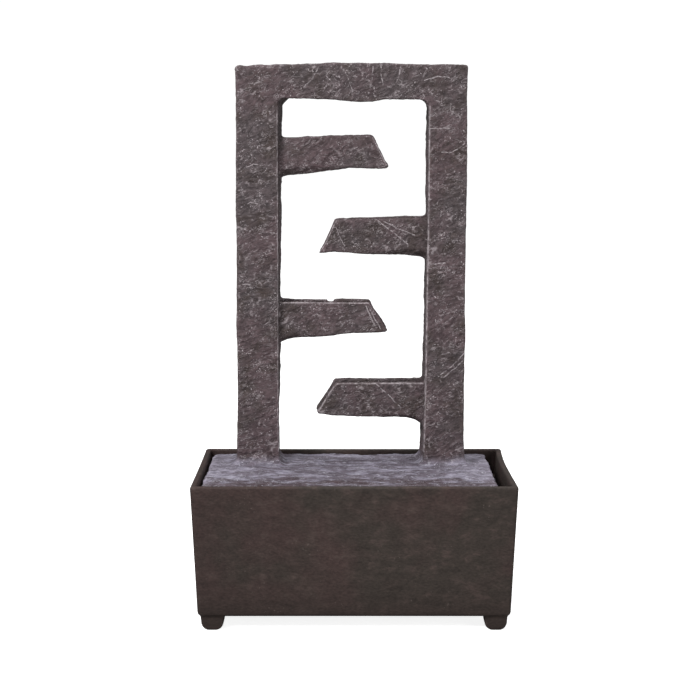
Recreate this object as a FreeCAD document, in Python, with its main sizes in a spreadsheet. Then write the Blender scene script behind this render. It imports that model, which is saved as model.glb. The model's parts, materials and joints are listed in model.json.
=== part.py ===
import FreeCAD, Part
import os
import re
import Sketcher
from FreeCAD import Vector

# A tabletop water fountain: a slate-look arch with four alternating open troughs stands on a deck
# that is let into a tapered basin on four moulded feet. A small magnet-drive pump on the basin's
# floor lifts the water through a hose inside the left upright to the top trough, and it spills
# from trough to trough, onto the deck and back into the basin. The arch, deck, troughs and hose
# lift off as one.
#
# Millimetres. +X to the right, +Y to the back, +Z up. The origin is under the middle of the
# basin, on the surface that its feet stand on.

SIZES = {
    # how far a cut or a joined shape runs past the face that it meets
    "overlap": 1,
    # basin
    "basin_width": 200, "basin_depth": 120, "rim_height": 91, "foot_height": 9, "draft": 3.7,
    "basin_wall": 4, "basin_floor": 3.5, "basin_round": 3, "rim_round": 1.2, "base_round": 2.5,
    "post_width": 16, "post_depth": 10, "post_outer_x": 94, "post_outer_y": 54,
    "notch_x": 58, "notch_width": 8, "notch_depth": 8, "notch_reach": 8,
    "foot_size": 14.5, "foot_outer_x": 93.6, "foot_outer_y": 53.6, "foot_round": 3,
    "sole_round": 2.5,
    # deck
    "deck_left": -94, "deck_right": 88.5, "deck_front": -53.5, "deck_back": 53,
    "deck_low": 75, "deck_top": 89, "deck_round": 4, "deck_edge_round": 2, "hose_hole": 12,
    # arch
    "arch_front": 17, "arch_back": 47, "arch_left": -75.6, "arch_right": 72, "arch_top": 348,
    "window_left": -46.9, "window_right": 45.7, "window_top": 325.6,
    "flare_height": 9, "flare_out": 4, "corner_left_round": 5, "corner_right_round": 6.5,
    # riser inside the left upright
    "riser_x": -61, "riser_y": 34, "channel_width": 11, "channel_front": 28.5, "channel_top": 300,
    "cover_thick": 3, "cover_width": 17, "cover_top": 306, "cover_gap": 0.2,
    "hose_outer": 9, "hose_bore": 6.5, "hose_low": 60, "hose_top": 289,
    "elbow_outer": 6.4, "elbow_bore": 4.4, "elbow_bend": 6, "elbow_low": 278, "spout_z": 296,
    "spout_reach": 4, "spout_hole": 7,
    # troughs
    "trough_front": 22, "trough_back": 42, "trough_wall": 3, "floor_drop": 11, "lip_thick": 2.5,
    "first_top": 301.3, "first_corner": 12.4, "first_tip": 21.6, "first_tip_low": 281.2,
    "first_root_low": 276.7,
    "second_top": 247.8, "second_corner": -12.4, "second_tip": -22, "second_tip_low": 226.3,
    "second_root_low": 223.9,
    "third_top": 194.1, "third_corner": 10.7, "third_tip": 21.2, "third_tip_low": 175.3,
    "third_root_low": 170.7,
    "fourth_top": 141.8, "fourth_corner": -13, "fourth_tip": -23.7, "fourth_tip_low": 122.2,
    "fourth_root_low": 115.7,
    # pump, about an origin on its shaft line at the front face of its housing
    "pump_x": -70, "pump_y": 27, "pump_z": 40.5,
    "housing_length": 52, "housing_half_width": 17, "housing_low": -23, "housing_high": 17,
    "housing_wall": 2.5, "housing_round": 5,
    "chamber_radius": 13, "chamber_depth": 16, "partition": 2.5,
    "ring_seat_radius": 14.5, "ring_seat_depth": 1.5, "ring_section": 0.75,
    "well_outer": 8.5, "well_bore": 7, "well_end": 46, "well_cap": 2,
    "outlet_hole": 3.3, "outlet_x": 9, "outlet_y": 7,
    "spigot_radius": 3.2, "spigot_length": 3, "collar_radius": 5, "collar_height": 2,
    "nozzle_height": 12, "nozzle_bore": 2.2,
    "intake_length": 10, "intake_wall": 2, "intake_sill": 5, "slot_width": 1.8, "slot_pitch": 4,
    "slot_low": -12, "slot_high": 2, "slot_count": 5,
    "slider_half_width": 9, "slider_low": 3, "slider_high": 15, "slider_gap": 0.3,
    "slider_thick": 1.6, "grip_height": 3, "grip_half_width": 5, "grip_proud": 1.6,
    "rail_gap": 0.3, "rail_thick": 2, "rail_lip": 1, "rail_lip_thick": 1, "rail_low": -10,
    "plate_radius": 12.9, "plate_thick": 2.5, "inlet_radius": 7, "hub_radius": 3.8,
    "spoke_width": 2, "bush_radius": 2.5,
    "shaft_radius": 1.15, "rotor_bore": 1.2,
    "vane_front": 4, "vane_back": 11, "vane_thick": 1.4, "vane_outer": 11, "vane_root": 3.5,
    "vane_count": 6,
    "rotor_front": 3.2, "rotor_hub": 4.5, "disc_radius": 10, "disc_back": 12.5, "neck_radius": 5,
    "magnet_front": 17, "magnet_back": 41, "magnet_radius": 6.3, "rear_bush_front": 42,
    "rear_bush_radius": 6.9,
    "core_front": 22, "core_back": 40, "core_half_width": 14, "core_low": -17, "core_high": 11,
    "core_hole": 8.8, "window_half_width": 8.5, "core_window_low": -13, "core_window_high": -5,
    "coil_front": 19.4, "coil_back": 42.6, "coil_half_width": 8, "coil_low": -20.2,
    "coil_high": -9.8, "coil_clear": 0.1, "potting_back": 50,
    "cup_radius": 6, "cup_height": 5, "cup_hollow": 2, "cup_lip": 1, "cup_neck": 3, "cup_x_near": 10,
    "cup_x_far": 42, "cup_y": 9,
    "gland_radius": 3.5, "gland_length": 10, "gland_y": -8, "gland_z": 7,
}

# for telling edges apart, and for a cut that takes nothing away
TOLERANCE = 0.01
TINY = 1
LONG_EDGE = 30

# each trough and the upright's inner face that it grows from
TROUGHS = {
    "first": "window_left",
    "second": "window_right",
    "third": "window_left",
    "fourth": "window_right",
}

doc = FreeCAD.newDocument("tabletop_water_fountain")
sheet = doc.addObject("Spreadsheet::Sheet", "sizes")
for row, (alias, size) in enumerate(SIZES.items(), start=1):
    sheet.set(f"A{row}", alias)
    sheet.set(f"B{row}", str(size))
    sheet.setAlias(f"B{row}", alias)
doc.recompute()

parts = []


# ---------------------------------------------------------------- sheet and sketch helpers

def bound(text):
    """The expression that FreeCAD reads, with each size looked up in the sheet."""
    def look_up(match):
        word = match.group(0)
        return "sizes." + word if word in SIZES else word
    return re.sub(r"[a-z]\w*", look_up, str(text))


def number(text):
    """What an expression comes to now."""
    return float(sheet.evalExpression(bound(text)))


def new_body(label):
    body = doc.addObject("PartDesign::Body", label)
    body.Label = label
    parts.append(body)
    return body


def place(item, x, y, z):
    """Puts a sub-part's own origin at a point given by three expressions."""
    for axis, text in zip("xyz", (x, y, z)):
        item.setExpression(f"Placement.Base.{axis}", bound(text))


def place_in_pump(item):
    place(item, "pump_x", "pump_y", "pump_z")


def origin_plane(body, role):
    return next(feature for feature in body.Origin.OriginFeatures if feature.Role == role)


def sketch_on(body, name, role, offset="0"):
    """A sketch parallel to one of the body's origin planes, moved along that plane's normal."""
    sketch = body.newObject("Sketcher::SketchObject", name)
    sketch.AttachmentSupport = [(origin_plane(body, role), "")]
    sketch.MapMode = "FlatFace"
    sketch.setExpression("AttachmentOffset.Base.z", bound(offset))
    return sketch


def pin(sketch, geometry, point, x, y):
    """Holds a sketch point at two expressions measured from the sketch's origin."""
    for kind, text in (("DistanceX", x), ("DistanceY", y)):
        rule = Sketcher.Constraint(kind, -1, 1, geometry, point, number(text))
        index = sketch.addConstraint(rule)
        sketch.setExpression(f"Constraints[{index}]", bound(text))


def polygon(sketch, corners):
    """A closed outline whose corners are pairs of expressions."""
    spots = [Vector(number(x), number(y), 0) for x, y in corners]
    first = sketch.GeometryCount
    count = len(corners)
    for i in range(count):
        sketch.addGeometry(Part.LineSegment(spots[i], spots[(i + 1) % count]))
    for i in range(count):
        following = first + (i + 1) % count
        sketch.addConstraint(Sketcher.Constraint("Coincident", first + i, 2, following, 1))
    for i, (x, y) in enumerate(corners):
        pin(sketch, first + i, 1, x, y)


def rectangle(sketch, x_low, x_high, y_low, y_high):
    polygon(sketch, [(x_low, y_low), (x_high, y_low), (x_high, y_high), (x_low, y_high)])


def circle(sketch, radius, x="0", y="0"):
    geometry = sketch.GeometryCount
    centre = Vector(number(x), number(y), 0)
    sketch.addGeometry(Part.Circle(centre, Vector(0, 0, 1), number(radius)))
    index = sketch.addConstraint(Sketcher.Constraint("Radius", geometry, number(radius)))
    sketch.setExpression(f"Constraints[{index}]", bound(radius))
    pin(sketch, geometry, 3, x, y)


# ---------------------------------------------------------------- feature helpers

def pad(body, sketch, length, backwards=False):
    feature = body.newObject("PartDesign::Pad", sketch.Name + "_pad")
    feature.Profile = sketch
    feature.setExpression("Length", bound(length))
    feature.Reversed = backwards
    return feature


def pocket(body, sketch, length, forwards=False):
    """Cuts against the sketch's normal, or along it when forwards is set."""
    doc.recompute()
    before = body.Shape.Volume
    feature = body.newObject("PartDesign::Pocket", sketch.Name + "_pocket")
    feature.Profile = sketch
    feature.setExpression("Length", bound(length))
    feature.Reversed = forwards
    doc.recompute()
    if body.Shape.Volume >= before - TOLERANCE:
        raise RuntimeError(f"{feature.Name} cut nothing")
    return feature


def tapered_block(body, kind, name, low, high, low_inset, high_inset):
    """A centred block, set in from the rim's outline by one amount below and another above."""
    block = body.newObject(f"PartDesign::{kind}Wedge", name)
    block.AttachmentSupport = [(origin_plane(body, "XZ_Plane"), "")]
    block.MapMode = "FlatFace"
    sizes = {"Ymin": low, "Ymax": high}
    for axis, across in (("X", "basin_width"), ("Z", "basin_depth")):
        for level, inset in (("", low_inset), ("2", high_inset)):
            half = f"({across} / 2 - ({inset}))"
            sizes[f"{axis}{level}min"] = f"0 - {half}"
            sizes[f"{axis}{level}max"] = half
    for name, text in sizes.items():
        block.setExpression(name, bound(text))
    return block


def turn(body, sketch):
    """A full revolution about the sketch's vertical axis."""
    feature = body.newObject("PartDesign::Revolution", sketch.Name + "_turn")
    feature.Profile = sketch
    feature.ReferenceAxis = (sketch, ["V_Axis"])
    feature.Angle = 360
    return feature


def fillet(body, feature, radius, wanted):
    """Rounds the edges of a feature that pass a test."""
    doc.recompute()
    names = [f"Edge{i}" for i, edge in enumerate(feature.Shape.Edges, start=1) if wanted(edge)]
    round_off = body.newObject("PartDesign::Fillet", feature.Name + "_round")
    round_off.Base = (feature, names)
    round_off.setExpression("Radius", bound(radius))
    return round_off


def at_height(z):
    return lambda edge: abs(edge.BoundBox.ZMin - z) + abs(edge.BoundBox.ZMax - z) < TOLERANCE


def upright_edge(edge):
    box = edge.BoundBox
    return box.ZLength > TINY and max(box.XLength, box.YLength) < box.ZLength / 4


def edge_through(x, z):
    """An edge that runs front to back through one point of the arch's outline."""
    def test(edge):
        box = edge.BoundBox
        return box.YLength > TINY and abs(box.XMin - x) + abs(box.ZMin - z) < TOLERANCE
    return test


# ---------------------------------------------------------------- basin

def make_basin_tub():
    """A tapered open box on moulded feet, with corner posts for the deck and a cable notch."""
    body = new_body("basin_tub")
    outside = tapered_block(body, "Additive", "outside", "foot_height", "rim_height", "draft", "0")
    corners = fillet(body, outside, "basin_round", upright_edge)
    fillet(body, corners, "base_round", at_height(number("foot_height")))
    tapered_block(body, "Subtractive", "hollow", "foot_height + basin_floor", "rim_height",
                  "draft + basin_wall", "basin_wall")

    feet = sketch_on(body, "feet", "XY_Plane")
    posts = sketch_on(body, "posts", "XY_Plane", "foot_height + basin_floor / 2")
    for x_side in (1, -1):
        for y_side in (1, -1):
            rectangle(feet,
                      f"{x_side} * (foot_outer_x - foot_size)", f"{x_side} * foot_outer_x",
                      f"{y_side} * (foot_outer_y - foot_size)", f"{y_side} * foot_outer_y")
            rectangle(posts,
                      f"{x_side} * (post_outer_x - post_width)", f"{x_side} * post_outer_x",
                      f"{y_side} * (post_outer_y - post_depth)", f"{y_side} * post_outer_y")
    pad(body, posts, "deck_low - foot_height - basin_floor / 2")
    stood = pad(body, feet, "foot_height + basin_floor / 2")
    foot_sides = fillet(body, stood, "foot_round", foot_side)
    fillet(body, foot_sides, "sole_round", at_height(0))

    notch = sketch_on(body, "cable_notch", "XZ_Plane", "0 - basin_depth / 2 - overlap")
    rectangle(notch, "notch_x - notch_width / 2", "notch_x + notch_width / 2",
              "rim_height - notch_depth", "rim_height + overlap")
    tip = pocket(body, notch, "notch_reach", forwards=True)
    fillet(body, tip, "rim_round", rim_edge)


def foot_side(edge):
    """An upright edge of a foot, below the basin's base."""
    return upright_edge(edge) and edge.BoundBox.ZMax < number("foot_height") + TOLERANCE


def rim_edge(edge):
    """A long edge of the rim's top face, either the outer or the inner one."""
    box = edge.BoundBox
    return at_height(number("rim_height"))(edge) and max(box.XLength, box.YLength) > LONG_EDGE


# ---------------------------------------------------------------- deck, arch and troughs

def make_deck():
    """The slab that fills the basin's mouth, with a hole for the riser hose."""
    body = new_body("deck_casting")
    outline = sketch_on(body, "outline", "XY_Plane", "deck_low")
    rectangle(outline, "deck_left", "deck_right", "deck_front", "deck_back")
    slab = pad(body, outline, "deck_top - deck_low")
    corners = fillet(body, slab, "deck_round", upright_edge)
    fillet(body, corners, "deck_edge_round", at_height(number("deck_top")))
    hole = sketch_on(body, "hose_hole", "XY_Plane", "deck_top")
    circle(hole, "hose_hole / 2", "riser_x", "riser_y")
    pocket(body, hole, "deck_top - deck_low")


def make_arch():
    """Two uprights and a top beam in one casting, with the riser's channel open at the back."""
    body = new_body("arch_casting")
    outline = sketch_on(body, "outline", "XZ_Plane", "0 - arch_back")
    flare_top = "deck_top + flare_height"
    polygon(outline, [
        ("arch_left - flare_out", "deck_top"),
        ("arch_left", flare_top),
        ("arch_left", "arch_top"),
        ("arch_right", "arch_top"),
        ("arch_right", flare_top),
        ("arch_right + flare_out", "deck_top"),
        ("window_right - flare_out", "deck_top"),
        ("window_right", flare_top),
        ("window_right", "window_top"),
        ("window_left", "window_top"),
        ("window_left", flare_top),
        ("window_left + flare_out", "deck_top"),
    ])
    block = pad(body, outline, "arch_back - arch_front")
    left = edge_through(number("window_left"), number("window_top"))
    rounded = fillet(body, block, "corner_left_round", left)
    right = edge_through(number("window_right"), number("window_top"))
    fillet(body, rounded, "corner_right_round", right)

    channel = sketch_on(body, "hose_channel", "XZ_Plane", "0 - arch_back")
    rectangle(channel, "riser_x - channel_width / 2", "riser_x + channel_width / 2",
              "deck_top - overlap", "channel_top")
    pocket(body, channel, "arch_back - channel_front", forwards=True)
    rebate = sketch_on(body, "cover_rebate", "XZ_Plane", "0 - arch_back")
    rectangle(rebate, "riser_x - cover_width / 2", "riser_x + cover_width / 2",
              "deck_top - overlap", "cover_top")
    pocket(body, rebate, "cover_thick", forwards=True)
    bore = sketch_on(body, "spout_bore", "YZ_Plane", "window_left")
    circle(bore, "spout_hole / 2", "riser_y", "spout_z")
    pocket(body, bore, "window_left - riser_x")


def make_channel_cover():
    """The strip bonded over the hose channel, flush with the arch's back."""
    body = new_body("hose_channel_cover")
    outline = sketch_on(body, "outline", "XZ_Plane", "0 - arch_back")
    half = "(cover_width / 2 - cover_gap)"
    rectangle(outline, f"riser_x - {half}", f"riser_x + {half}", "deck_top + cover_gap",
              "cover_top - cover_gap")
    pad(body, outline, "cover_thick")


def make_trough(order, root):
    """An open channel bonded to an upright, with a raked end whose lip sheds the water."""
    body = new_body(f"{order}_trough")
    top = f"{order}_top"
    tip = f"{order}_tip"
    tip_low = f"{order}_tip_low"
    outline = sketch_on(body, "outline", "XZ_Plane", "0 - trough_back")
    polygon(outline, [
        (root, f"{order}_root_low"),
        (tip, tip_low),
        (f"{order}_corner", top),
        (root, top),
    ])
    pad(body, outline, "trough_back - trough_front")

    outwards = 1 if number(tip) > number(root) else -1
    run = sketch_on(body, "water_run", "XZ_Plane", "trough_wall - trough_back")
    polygon(run, [
        (root, f"{top} - floor_drop"),
        (f"{tip} + {outwards} * overlap", f"{tip_low} + lip_thick"),
        (f"{tip} + {outwards} * overlap", f"{top} + overlap"),
        (root, f"{top} + overlap"),
    ])
    pocket(body, run, "trough_back - trough_front - 2 * trough_wall", forwards=True)


def make_riser_hose():
    """A straight flexible tube from the pump's nozzle to the elbow."""
    body = new_body("riser_hose")
    section = sketch_on(body, "section", "XY_Plane", "hose_low")
    circle(section, "hose_outer / 2", "riser_x", "riser_y")
    circle(section, "hose_bore / 2", "riser_x", "riser_y")
    pad(body, section, "hose_top - hose_low")


def make_outlet_elbow():
    """A quarter bend that turns the water into the first trough."""
    body = new_body("outlet_elbow")
    bend = "elbow_bend"
    path = sketch_on(body, "path", "XZ_Plane", "0 - riser_y")
    start = Vector(number("riser_x"), number("elbow_low"), 0)
    bend_low = Vector(number("riser_x"), number(f"spout_z - {bend}"), 0)
    bend_end = Vector(number(f"riser_x + {bend}"), number("spout_z"), 0)
    end = Vector(number("window_left + spout_reach"), number("spout_z"), 0)
    centre = Vector(bend_end.x, bend_low.y, 0)
    knee = centre + Vector(-1, 1, 0).normalize() * number(bend)
    path.addGeometry(Part.LineSegment(start, bend_low))
    path.addGeometry(Part.Arc(bend_low, knee, bend_end))
    path.addGeometry(Part.LineSegment(bend_end, end))
    pin(path, 0, 1, "riser_x", "elbow_low")
    pin(path, 0, 2, "riser_x", f"spout_z - {bend}")
    pin(path, 1, 3, f"riser_x + {bend}", f"spout_z - {bend}")
    pin(path, 2, 1, f"riser_x + {bend}", "spout_z")
    pin(path, 2, 2, "window_left + spout_reach", "spout_z")
    section = sketch_on(body, "section", "XY_Plane", "elbow_low")
    circle(section, "elbow_outer / 2", "riser_x", "riser_y")
    circle(section, "elbow_bore / 2", "riser_x", "riser_y")
    pipe = body.newObject("PartDesign::AdditivePipe", "bent_tube")
    pipe.Profile = section
    pipe.Spine = path


# ---------------------------------------------------------------- pump housing and covers

def make_pump_housing():
    """The moulded body: pump chamber at the front, rotor well and stator cavity behind it."""
    body = new_body("pump_housing")
    block = sketch_on(body, "block", "YZ_Plane")
    rectangle(block, "0 - housing_half_width", "housing_half_width", "housing_low", "housing_high")
    solid = pad(body, block, "housing_length")
    fillet(body, solid, "housing_round", runs_along_x)

    chamber = sketch_on(body, "chamber", "YZ_Plane", "chamber_depth")
    circle(chamber, "chamber_radius")
    pocket(body, chamber, "chamber_depth")
    ring_seat = sketch_on(body, "ring_seat", "YZ_Plane", "ring_seat_depth")
    circle(ring_seat, "ring_seat_radius")
    pocket(body, ring_seat, "ring_seat_depth")

    cavity = sketch_on(body, "stator_cavity", "YZ_Plane", "housing_length")
    rectangle(cavity, "housing_wall - housing_half_width", "housing_half_width - housing_wall",
              "housing_low + housing_wall", "housing_high - housing_wall")
    pocket(body, cavity, "housing_length - chamber_depth - partition")
    well = sketch_on(body, "rotor_well", "YZ_Plane", "chamber_depth")
    circle(well, "well_outer")
    pad(body, well, "well_end - chamber_depth")
    bore = sketch_on(body, "well_bore", "YZ_Plane", "well_end - well_cap")
    circle(bore, "well_bore")
    pocket(body, bore, "well_end - well_cap - chamber_depth")
    outlet = sketch_on(body, "outlet", "XY_Plane", "housing_high")
    circle(outlet, "outlet_hole", "outlet_x", "outlet_y")
    pocket(body, outlet, "housing_high - chamber_radius / 2")
    place_in_pump(body)


def runs_along_x(edge):
    box = edge.BoundBox
    return box.XLength > TINY and box.YLength + box.ZLength < TOLERANCE


def make_outlet_nozzle():
    """The hose barb that pushes into the housing's outlet."""
    body = new_body("pump_outlet_nozzle")
    profile = sketch_on(body, "profile", "XZ_Plane")
    polygon(profile, [
        ("nozzle_bore", "0 - spigot_length"),
        ("spigot_radius", "0 - spigot_length"),
        ("spigot_radius", "0"),
        ("collar_radius", "0"),
        ("collar_radius", "collar_height"),
        ("elbow_outer / 2", "collar_height"),
        ("elbow_outer / 2", "nozzle_height"),
        ("nozzle_bore", "nozzle_height"),
    ])
    turn(body, profile)
    place(body, "pump_x + outlet_x", "pump_y + outlet_y", "pump_z + housing_high")


def make_intake_cover():
    """The front cover with its row of intake slots and the two rails of the flow slider."""
    body = new_body("pump_intake_cover")
    block = sketch_on(body, "block", "YZ_Plane", "0 - intake_length")
    rectangle(block, "0 - housing_half_width", "housing_half_width", "housing_low", "housing_high")
    solid = pad(body, block, "intake_length")
    fillet(body, solid, "housing_round", runs_along_x)
    hollow = sketch_on(body, "hollow", "YZ_Plane")
    rectangle(hollow, "intake_wall - housing_half_width", "housing_half_width - intake_wall",
              "housing_low + intake_sill", "housing_high - intake_wall")
    pocket(body, hollow, "intake_length - intake_wall")

    slots = sketch_on(body, "slots", "YZ_Plane", "intake_wall - intake_length")
    for i in range(int(SIZES["slot_count"])):
        middle = f"({i} - (slot_count - 1) / 2) * slot_pitch"
        rectangle(slots, f"{middle} - slot_width / 2", f"{middle} + slot_width / 2",
                  "slot_low", "slot_high")
    pocket(body, slots, "intake_wall + overlap")

    rail_inner = "(slider_half_width + rail_gap)"
    lip_back = "0 - intake_length - 2 * slider_gap - slider_thick"
    rails = sketch_on(body, "rails", "YZ_Plane", "0 - intake_length")
    lips = sketch_on(body, "rail_lips", "YZ_Plane", lip_back)
    for side in (1, -1):
        outer = f"{side} * ({rail_inner} + rail_thick)"
        rectangle(rails, f"{side} * {rail_inner}", outer, "rail_low", "slider_high")
        rectangle(lips, f"{side} * ({rail_inner} - rail_lip)", outer, "rail_low", "slider_high")
    pad(body, rails, "2 * slider_gap + slider_thick", backwards=True)
    pad(body, lips, "rail_lip_thick", backwards=True)
    place_in_pump(body)


def make_flow_slider():
    """The plate that slides down over the intake slots to cut the flow."""
    body = new_body("pump_flow_slider")
    plate = sketch_on(body, "plate", "YZ_Plane", "0 - intake_length - slider_gap")
    rectangle(plate, "0 - slider_half_width", "slider_half_width", "slider_low", "slider_high")
    pad(body, plate, "slider_thick", backwards=True)
    grip_middle = "(slider_low + slider_high) / 2"
    grip = sketch_on(body, "grip", "YZ_Plane", "0 - intake_length - slider_gap - slider_thick")
    rectangle(grip, "0 - grip_half_width", "grip_half_width", f"{grip_middle} - grip_height / 2",
              f"{grip_middle} + grip_height / 2")
    pad(body, grip, "grip_proud", backwards=True)
    place_in_pump(body)


def make_chamber_plate():
    """The plate that closes the pump chamber, with an inlet ring and a spoked hub."""
    body = new_body("pump_chamber_plate")
    outline = sketch_on(body, "outline", "YZ_Plane")
    circle(outline, "plate_radius")
    circle(outline, "inlet_radius")
    pad(body, outline, "plate_thick")
    hub = sketch_on(body, "hub", "YZ_Plane")
    circle(hub, "hub_radius")
    pad(body, hub, "plate_thick")
    reach = ("0 - inlet_radius - overlap", "inlet_radius + overlap")
    width = ("0 - spoke_width / 2", "spoke_width / 2")
    for name, outline in (("level_spoke", reach + width), ("upright_spoke", width + reach)):
        spoke = sketch_on(body, name, "YZ_Plane")
        rectangle(spoke, *outline)
        pad(body, spoke, "plate_thick")
    seat = sketch_on(body, "bush_seat", "YZ_Plane", "plate_thick")
    circle(seat, "bush_radius")
    pocket(body, seat, "plate_thick")
    place_in_pump(body)


def make_ring(label, front, length, outer, bore):
    """A plain round sleeve or washer on the shaft line."""
    body = new_body(label)
    section = sketch_on(body, "section", "YZ_Plane", front)
    circle(section, outer)
    if bore:
        circle(section, bore)
    pad(body, section, length)
    place_in_pump(body)


def make_seal_ring():
    """The round cord seal pressed into the housing's front face."""
    ring = doc.addObject("Part::Torus", "pump_seal_ring")
    ring.Label = "pump_seal_ring"
    ring.setExpression("Radius1", bound("ring_seat_radius - ring_section"))
    ring.setExpression("Radius2", bound("ring_section"))
    place(ring, "pump_x + ring_section", "pump_y", "pump_z")
    ring.setExpression("Placement.Rotation.Angle", "90")
    ring.Placement.Rotation.Axis = Vector(0, 1, 0)
    parts.append(ring)


# ---------------------------------------------------------------- rotor, stator and pump feet

def make_impeller():
    """Six straight vanes on a back disc, with the neck that carries the magnet."""
    body = new_body("impeller")
    profile = sketch_on(body, "profile", "XZ_Plane")
    polygon(profile, [
        ("rotor_front", "rotor_bore"),
        ("rotor_front", "rotor_hub"),
        ("vane_back", "rotor_hub"),
        ("vane_back", "disc_radius"),
        ("disc_back", "disc_radius"),
        ("disc_back", "neck_radius"),
        ("magnet_front", "neck_radius"),
        ("magnet_front", "rotor_bore"),
    ])
    hub = body.newObject("PartDesign::Revolution", "hub")
    hub.Profile = profile
    hub.ReferenceAxis = (profile, ["H_Axis"])
    hub.Angle = 360
    doc.recompute()
    outline = sketch_on(body, "vane", "XZ_Plane", "0 - vane_thick / 2")
    rectangle(outline, "vane_front", "vane_back + overlap / 2", "vane_root", "vane_outer")
    vane = pad(body, outline, "vane_thick")
    doc.recompute()
    ring = body.newObject("PartDesign::PolarPattern", "vanes")
    ring.Originals = [vane]
    ring.Axis = (profile, ["H_Axis"])
    ring.Angle = 360
    ring.setExpression("Occurrences", bound("vane_count"))
    body.Tip = ring
    place_in_pump(body)


def make_stator_core():
    """The laminated iron that wraps the rotor well and runs through the coil."""
    body = new_body("stator_core")
    outline = sketch_on(body, "outline", "YZ_Plane", "core_front")
    rectangle(outline, "0 - core_half_width", "core_half_width", "core_low", "core_high")
    pad(body, outline, "core_back - core_front")
    hole = sketch_on(body, "rotor_hole", "YZ_Plane", "core_back")
    circle(hole, "core_hole")
    pocket(body, hole, "core_back - core_front")
    window = sketch_on(body, "coil_window", "YZ_Plane", "core_back")
    rectangle(window, "0 - window_half_width", "window_half_width", "core_window_low",
              "core_window_high")
    pocket(body, window, "core_back - core_front")
    place_in_pump(body)


def make_stator_coil():
    """The wound coil around the core's lower limb."""
    body = new_body("stator_coil")
    outline = sketch_on(body, "outline", "XZ_Plane", "0 - coil_half_width")
    rectangle(outline, "coil_front", "coil_back", "coil_low", "coil_high")
    rectangle(outline, "core_front - coil_clear", "core_back + coil_clear",
              "core_low - coil_clear", "core_window_low + coil_clear")
    pad(body, outline, "2 * coil_half_width")
    place_in_pump(body)


def make_potting():
    """The resin that fills the stator cavity around the core, coil and well."""
    block = doc.addObject("Part::Box", "potting_block")
    block.setExpression("Length", bound("potting_back - chamber_depth - partition"))
    block.setExpression("Width", bound("2 * (housing_half_width - housing_wall)"))
    block.setExpression("Height", bound("housing_high - housing_low - 2 * housing_wall"))
    place(block, "pump_x + chamber_depth + partition",
          "pump_y - housing_half_width + housing_wall", "pump_z + housing_low + housing_wall")
    fillers = doc.addObject("Part::MultiFuse", "potting_voids")
    fillers.Shapes = [doc.getObject(name) for name in ("stator_core", "stator_coil", "well_plug")]
    potting = doc.addObject("Part::Cut", "potting_compound")
    potting.Label = "potting_compound"
    potting.Base = block
    potting.Tool = fillers
    parts.append(potting)


def make_well_plug():
    """The space that the rotor well takes out of the potting."""
    plug = doc.addObject("Part::Cylinder", "well_plug")
    plug.setExpression("Radius", bound("well_outer"))
    plug.setExpression("Height", bound("well_end - chamber_depth"))
    place(plug, "pump_x + chamber_depth", "pump_y", "pump_z")
    plug.setExpression("Placement.Rotation.Angle", "90")
    plug.Placement.Rotation.Axis = Vector(0, 1, 0)


def make_suction_cup(end, side, x, y_side):
    """A soft cup that holds the pump to the basin's floor."""
    body = new_body(f"suction_cup_{end}_{side}")
    profile = sketch_on(body, "profile", "XZ_Plane")
    polygon(profile, [
        ("0", "cup_hollow"),
        ("cup_radius - cup_lip", "0"),
        ("cup_radius", "0"),
        ("cup_neck", "cup_height - cup_lip"),
        ("cup_neck", "cup_height"),
        ("0", "cup_height"),
    ])
    turn(body, profile)
    place(body, f"pump_x + {x}", f"pump_y + {y_side} * cup_y", "pump_z + housing_low - cup_height")


def make_cable_gland():
    """The moulded collar on the potted face that the mains lead would come out of."""
    body = new_body("pump_cable_gland")
    collar = sketch_on(body, "collar", "YZ_Plane", "potting_back")
    circle(collar, "gland_radius", "gland_y", "gland_z")
    pad(body, collar, "gland_length")
    place_in_pump(body)


# ---------------------------------------------------------------- assembly

make_basin_tub()
make_deck()
make_arch()
make_channel_cover()
for order, root in TROUGHS.items():
    make_trough(order, root)
make_riser_hose()
make_outlet_elbow()

make_pump_housing()
make_outlet_nozzle()
make_intake_cover()
make_flow_slider()
make_chamber_plate()
make_seal_ring()
make_impeller()
make_ring("rotor_magnet", "magnet_front", "magnet_back - magnet_front", "magnet_radius",
          "rotor_bore")
make_ring("rotor_shaft", "0", "well_end - well_cap", "shaft_radius", None)
make_ring("shaft_bush_front", "0", "plate_thick", "bush_radius", "shaft_radius")
make_ring("shaft_bush_rear", "rear_bush_front", "well_end - well_cap - rear_bush_front",
          "rear_bush_radius", "shaft_radius")
make_stator_core()
make_stator_coil()
make_well_plug()
make_potting()
for end, x in (("front", "cup_x_near"), ("rear", "cup_x_far")):
    for side, y_side in (("left", -1), ("right", 1)):
        make_suction_cup(end, side, x, y_side)
make_cable_gland()

doc.recompute()
for item in doc.Objects:
    if "Invalid" in item.State or "Error" in item.State:
        raise RuntimeError(f"{item.Name} failed: {item.State}")
for item in parts:
    if item.Shape.isNull() or not item.Shape.isValid():
        raise RuntimeError(f"{item.Label} has no valid shape")

os.makedirs("parts", exist_ok=True)
for item in parts:
    item.Shape.exportStep(f"parts/{item.Label}.step")
    print(f"{item.Label}: {len(item.Shape.Solids)} solid, {item.Shape.Volume / 1000:.2f} cm3")
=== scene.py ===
import json
import math

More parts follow.
